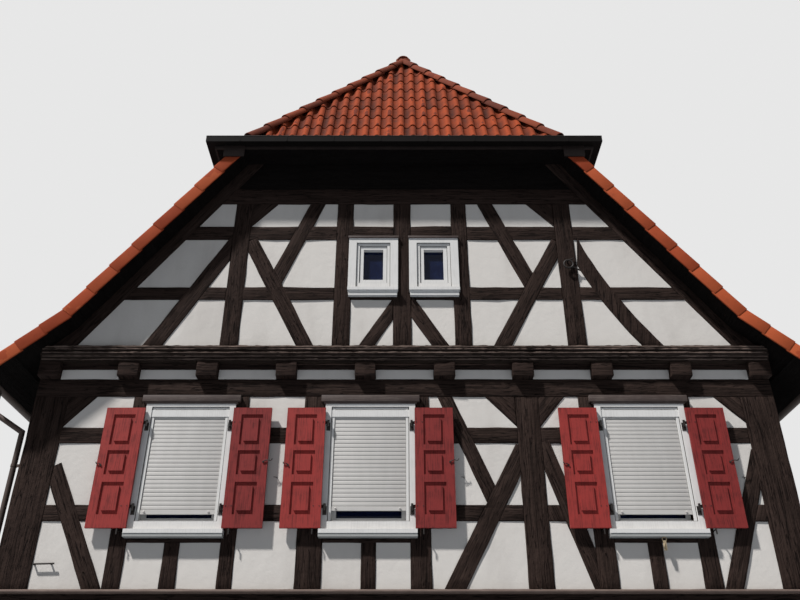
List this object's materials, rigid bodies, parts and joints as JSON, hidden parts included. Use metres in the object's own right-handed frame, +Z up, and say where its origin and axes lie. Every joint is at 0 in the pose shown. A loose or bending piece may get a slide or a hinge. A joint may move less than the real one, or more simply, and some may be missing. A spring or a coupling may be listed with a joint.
{
  "type": "half timbered house",
  "caption": "Half-timbered gabled house: rendered ground storey, timber-framed storey and attic gables, half-hipped tiled roof, roller shutters and hinged wing shutters.",
  "frame": {"origin": "on the ground, under the middle of the house", "axes": "+Z up; the seen gable faces -Y; +X to the right as seen from there; the ridge runs along Y"},
  "size_m": [9.88, 11.43, 12.0826],
  "materials": {
    "dark_timber": "weathered dark brown stain",
    "plaster_infill": "off-white lime plaster, matte",
    "rendered_masonry": "rendered masonry, matte",
    "clay_tile": "fired clay, matte, mottled orange-red",
    "brown_board": "brown paint, weathered",
    "brown_metal": "dark brown coating, satin",
    "concrete": "matte",
    "floor_board": "matte",
    "white_frame": "white paint, satin",
    "window_glass": "clear",
    "sill_stone": "smooth, matte",
    "shutter_slat": "light grey, matte",
    "door_wood": "brick red paint, satin",
    "black_iron": "black paint, worn",
    "red_shutter": "brick red paint, worn"
  },
  "bodies": {
    "house": {"attic_floor": "floor_board", "collar_beams": "dark_timber", "corner_posts": "dark_timber", "door_frame": "white_frame", "downpipe_necks": "brown_metal", "downpipes": "brown_metal", "drip_ledges": "brown_board", "eaves_gutters": "brown_metal", "eaves_plates": "dark_timber", "entrance_door": "door_wood", "gable_boarding": "dark_timber", "gable_braces": "dark_timber", "gable_infill": "plaster_infill", "gable_posts": "dark_timber", "gable_rafters": "dark_timber", "gable_rails": "dark_timber", "gable_short_braces": "dark_timber", "gable_sills": "dark_timber", "ground_floor": "concrete", "ground_wall_back": "rendered_masonry", "ground_wall_front": "rendered_masonry", "ground_wall_left": "rendered_masonry", "ground_wall_right": "rendered_masonry", "half_hips": "clay_tile", "head_beams": "dark_timber", "hip_caps": "clay_tile", "hip_fascias": "brown_board", "hip_gutters": "brown_metal", "hip_soffits": "brown_board", "joist_infill": "plaster_infill", "joists": "dark_timber", "ridge_caps": "clay_tile", "roller_shutters": "shutter_slat", "roof_left": "clay_tile", "roof_right": "clay_tile", "shutter_catches": "black_iron", "shutter_pintles": "black_iron", "sill_beams": "dark_timber", "storey_braces": "dark_timber", "storey_infill": "plaster_infill", "storey_posts": "dark_timber", "storey_rails": "dark_timber", "storey_short_braces": "dark_timber", "upper_floor": "floor_board", "verge_cheeks": "clay_tile", "window_frames": "white_frame", "window_headers": "brown_board", "window_panes": "window_glass", "window_sills": "sill_stone"},
    "left_window_left_shutter_leaf": {"left_window_left_shutter": "red_shutter"},
    "left_window_right_shutter_leaf": {"left_window_right_shutter": "red_shutter"},
    "middle_window_left_shutter_leaf": {"middle_window_left_shutter": "red_shutter"},
    "middle_window_right_shutter_leaf": {"middle_window_right_shutter": "red_shutter"},
    "right_window_left_shutter_leaf": {"right_window_left_shutter": "red_shutter"},
    "right_window_right_shutter_leaf": {"right_window_right_shutter": "red_shutter"}
  },
  "joints": [
    {"name": "left_window_left_shutter_hinge", "type": "hinge", "parent": "house", "child": "left_window_left_shutter_leaf", "pos_m": [-2.97, -5.2625, 4.56], "axis": [0, 0, 1], "range_deg": [0, 180]},
    {"name": "left_window_right_shutter_hinge", "type": "hinge", "parent": "house", "child": "left_window_right_shutter_leaf", "pos_m": [-2.014, -5.2625, 4.56], "axis": [0, 0, -1], "range_deg": [0, 180]},
    {"name": "middle_window_left_shutter_hinge", "type": "hinge", "parent": "house", "child": "middle_window_left_shutter_leaf", "pos_m": [-0.878, -5.2625, 4.56], "axis": [0, 0, 1], "range_deg": [0, 180]},
    {"name": "middle_window_right_shutter_hinge", "type": "hinge", "parent": "house", "child": "middle_window_right_shutter_leaf", "pos_m": [0.078, -5.2625, 4.56], "axis": [0, 0, -1], "range_deg": [0, 180]},
    {"name": "right_window_left_shutter_hinge", "type": "hinge", "parent": "house", "child": "right_window_left_shutter_leaf", "pos_m": [2.255, -5.2625, 4.56], "axis": [0, 0, 1], "range_deg": [0, 180]},
    {"name": "right_window_right_shutter_hinge", "type": "hinge", "parent": "house", "child": "right_window_right_shutter_leaf", "pos_m": [3.211, -5.2625, 4.56], "axis": [0, 0, -1], "range_deg": [0, 180]}
  ]
}
